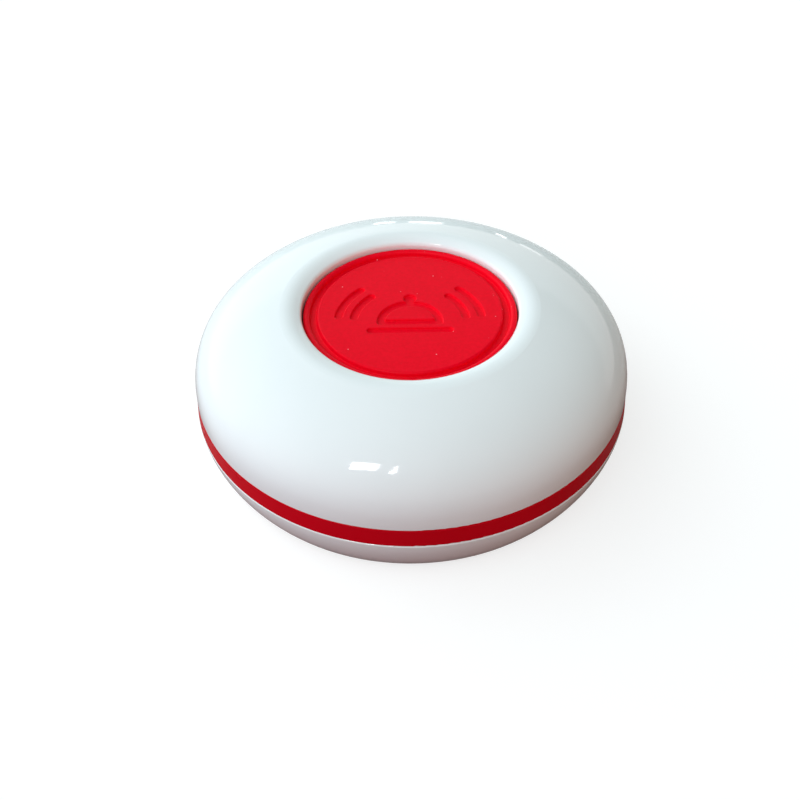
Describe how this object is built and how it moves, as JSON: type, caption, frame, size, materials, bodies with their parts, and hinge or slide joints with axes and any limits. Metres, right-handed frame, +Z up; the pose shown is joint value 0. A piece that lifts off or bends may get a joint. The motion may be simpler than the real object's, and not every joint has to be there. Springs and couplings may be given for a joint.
{
  "type": "waiter call button",
  "caption": "Round white table-top call button: domed and rounded shells with a red band between them and a large sprung red push button engraved with a desk bell.",
  "frame": {"origin": "centre of the underside, on the table: the bottom face of the pad's release liner", "axes": "+Z up through the button; the front, from which the symbol reads upright, faces -Y; +X is to the right seen from the front"},
  "size_m": [0.0604, 0.0604, 0.0213],
  "materials": {
    "shell_white": "glossy moulded shell",
    "band_red": "glossy moulded band",
    "button_red": "satin moulded cap",
    "silicone": "matte silicone",
    "clamp_plastic": "satin",
    "screw_steel": "zinc plated",
    "board_green": "satin solder mask",
    "switch_black": "satin",
    "switch_steel": "bright",
    "chip_black": "satin",
    "lead_tin": "tinned",
    "light_clear": "clear red lens",
    "resistor_black": "satin",
    "capacitor_tan": "satin",
    "coil_copper": "enamelled copper wire",
    "battery_steel": "bright",
    "battery_wrap": "shrink sleeve, bare of print",
    "contact_nickel": "nickel plated",
    "pad_foam": "closed-cell foam, adhesive both sides",
    "liner_paper": "waxed release paper"
  },
  "bodies": {
    "housing": {"upper_shell": "shell_white", "trim_ring": "band_red", "lower_shell": "shell_white", "diaphragm": "silicone", "clamp_ring": "clamp_plastic", "clamp_ring_screws": "screw_steel", "circuit_board": "board_green", "board_screws": "screw_steel", "switch_base": "switch_black", "switch_cover": "switch_steel", "switch_dome": "switch_steel", "switch_terminals": "lead_tin", "encoder_chip": "chip_black", "encoder_leads": "lead_tin", "saw_resonator": "switch_steel", "rf_transistor": "chip_black", "status_light": "light_clear", "chip_resistors": "resistor_black", "chip_capacitors": "capacitor_tan", "antenna_coil": "coil_copper", "battery_can": "battery_steel", "battery_sleeve": "battery_wrap", "battery_spring": "contact_nickel", "plus_contact": "contact_nickel", "minus_contact": "contact_nickel", "shell_screws": "screw_steel", "adhesive_pad": "pad_foam", "pad_liner": "liner_paper"},
    "button": {"button_cap": "button_red"},
    "plunger": {"switch_plunger": "switch_black"}
  },
  "joints": [
    {"name": "button_press", "type": "slide", "parent": "housing", "child": "button", "axis": [0, 0, -1], "range_m": [0, 0.0008], "stiffness_N_per_m": 2500, "springref_m": -0.0002, "deforming": ["diaphragm"]},
    {"name": "switch_travel", "type": "slide", "parent": "housing", "child": "plunger", "axis": [0, 0, -1], "range_m": [0, 0.00025], "deforming": ["switch_dome"]}
  ],
  "couplings": [
    {"joint": "switch_travel", "follows": "button_press", "ratio": 0.3125}
  ]
}
